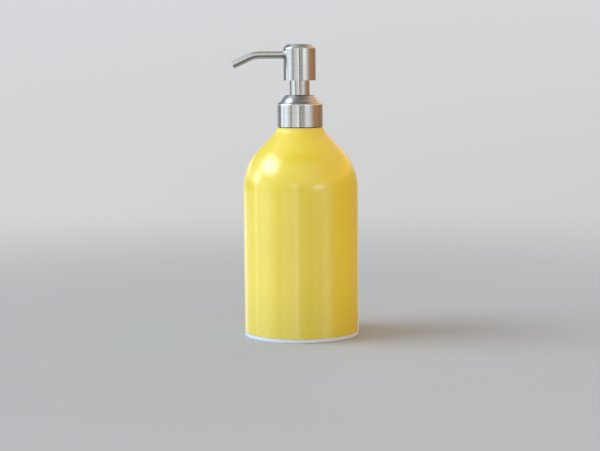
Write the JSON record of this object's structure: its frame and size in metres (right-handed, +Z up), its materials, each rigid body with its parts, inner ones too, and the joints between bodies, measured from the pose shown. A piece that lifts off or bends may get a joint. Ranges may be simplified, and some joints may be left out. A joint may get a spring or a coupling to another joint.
{
  "type": "dish soap bottle",
  "caption": "Cylindrical glazed ceramic soap bottle with a domed shoulder and a screw-on stainless push pump with a thin bent spout.",
  "frame": {"origin": "on the bottle's axis, in the plane that its foot stands on", "axes": "+Z up the bottle's axis; the spout points along -X at rest"},
  "size_m": [0.0872, 0.08, 0.202],
  "materials": {
    "glaze": "glossy yellow glaze over a white body that is bare at the foot",
    "ring_plastic": "moulded polypropylene, matt black",
    "gasket_rubber": "soft sealing washer",
    "collar_steel": "stainless steel brushed round the axis",
    "nut_plastic": "moulded polypropylene, matt black",
    "housing_plastic": "natural polypropylene, milky white",
    "retainer_plastic": "natural polypropylene, milky white",
    "spring_steel": "drawn stainless wire, ends ground flat",
    "ball_steel": "polished stainless ball",
    "tube_plastic": "extruded polyethylene, milky clear",
    "seal_plastic": "soft white polyethylene",
    "rod_plastic": "natural polypropylene, milky white",
    "stem_steel": "polished stainless tube",
    "head_steel": "stainless steel brushed round the axis",
    "core_plastic": "moulded polypropylene, matt black",
    "spout_steel": "stainless tube with a fine satin finish"
  },
  "bodies": {
    "bottle": {"bottle": "glaze", "neck_ring": "ring_plastic"},
    "gasket": {"gasket": "gasket_rubber"},
    "pump": {"pump_housing": "housing_plastic", "retainer": "retainer_plastic", "return_spring": "spring_steel", "inlet_ball": "ball_steel", "dip_tube": "tube_plastic"},
    "collar": {"collar_shell": "collar_steel", "collar_nut": "nut_plastic"},
    "piston": {"piston_seal": "seal_plastic"},
    "head": {"head_shell": "head_steel", "head_core": "core_plastic", "spout": "spout_steel", "stem_sleeve": "stem_steel", "piston_rod": "rod_plastic", "outlet_ball": "ball_steel"}
  },
  "joints": [
    {"name": "lift_off", "type": "slide", "parent": "bottle", "child": "gasket", "axis": [0, 0, 1], "range_m": [0, 0.15]},
    {"name": "thread_lift", "type": "slide", "parent": "gasket", "child": "pump", "axis": [0, 0, 1], "range_m": [0, 0.00531]},
    {"name": "collar_turn", "type": "hinge", "parent": "pump", "child": "collar", "pos_m": [0, 0, 0.155], "axis": [0, 0, 1], "range_deg": [0, 450]},
    {"name": "pump_stroke", "type": "slide", "parent": "pump", "child": "piston", "axis": [0, 0, 1], "range_m": [-0.0095, 0], "stiffness_N_per_m": 400, "springref_m": 0.01, "deforming": ["return_spring"]},
    {"name": "head_swivel", "type": "hinge", "parent": "piston", "child": "head", "pos_m": [0, 0, 0.185], "axis": [0, 0, 1], "continuous": true}
  ],
  "couplings": [
    {"joint": "thread_lift", "follows": "collar_turn", "m_per_rad": 0.00067322}
  ]
}
